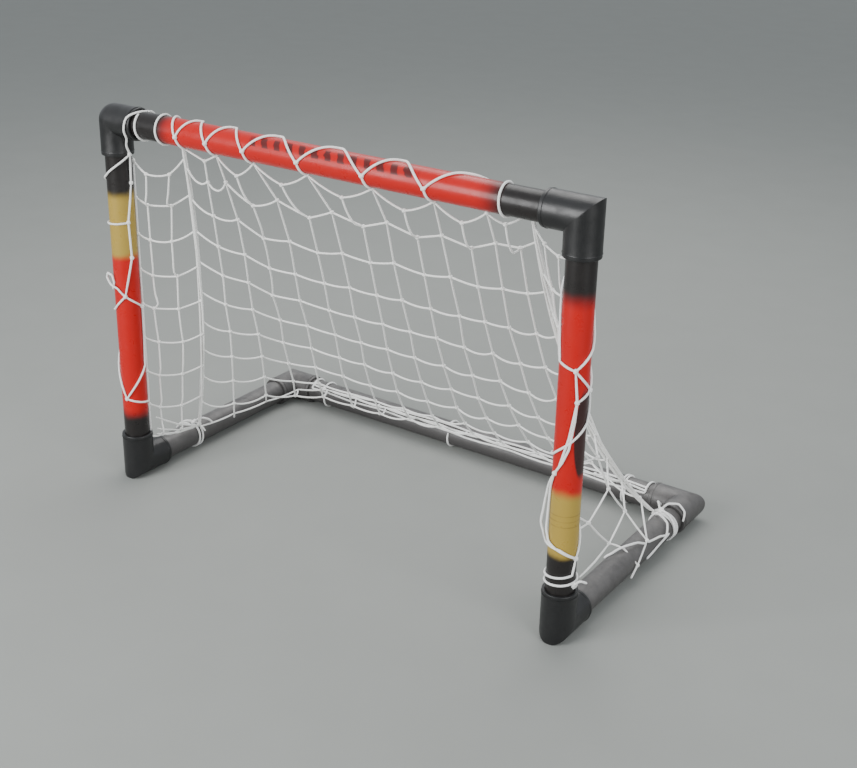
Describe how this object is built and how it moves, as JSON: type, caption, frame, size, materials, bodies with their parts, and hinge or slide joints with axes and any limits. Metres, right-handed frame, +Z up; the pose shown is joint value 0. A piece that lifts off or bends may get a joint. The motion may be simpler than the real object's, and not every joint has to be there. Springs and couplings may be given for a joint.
{
  "type": "soccer goal frame",
  "caption": "Small soccer goal: mitred tube arch pushed into a ground frame, with a knotted twine net sloping from crossbar to rear bar.",
  "frame": {"origin": "centre of the goal's outer box on the ground plane", "axes": "+X along the crossbar to the right post as seen from the mouth, -Y out of the mouth towards the player, +Z up"},
  "size_m": [1.2742, 0.6742, 0.9321],
  "materials": {
    "red_tube": "satin",
    "dark_tube": "satin",
    "black_fitting": "satin",
    "white_twine": "matte",
    "white_cord": "matte"
  },
  "bodies": {
    "base": {"left_foot_elbow": "black_fitting", "right_foot_elbow": "black_fitting", "left_side_tube": "dark_tube", "right_side_tube": "dark_tube", "rear_left_elbow": "black_fitting", "rear_right_elbow": "black_fitting", "rear_bar_tube": "dark_tube", "rear_bar_lacing": "white_cord", "left_side_tie": "white_cord", "right_side_tie": "white_cord"},
    "arch": {"crossbar_tube": "red_tube", "left_post_tube": "red_tube", "right_post_tube": "red_tube", "top_left_elbow": "black_fitting", "top_right_elbow": "black_fitting", "net_back_panel": "white_twine", "net_left_panel": "white_twine", "net_right_panel": "white_twine", "left_corner_bundle": "white_twine", "right_corner_bundle": "white_twine", "crossbar_lacing": "white_cord", "left_post_lacing": "white_cord", "right_post_lacing": "white_cord", "right_foot_wrap": "white_cord"}
  },
  "joints": [
    {"name": "arch_lift", "type": "slide", "parent": "base", "child": "arch", "axis": [0, 0, 1], "range_m": [0, 0.06]}
  ]
}
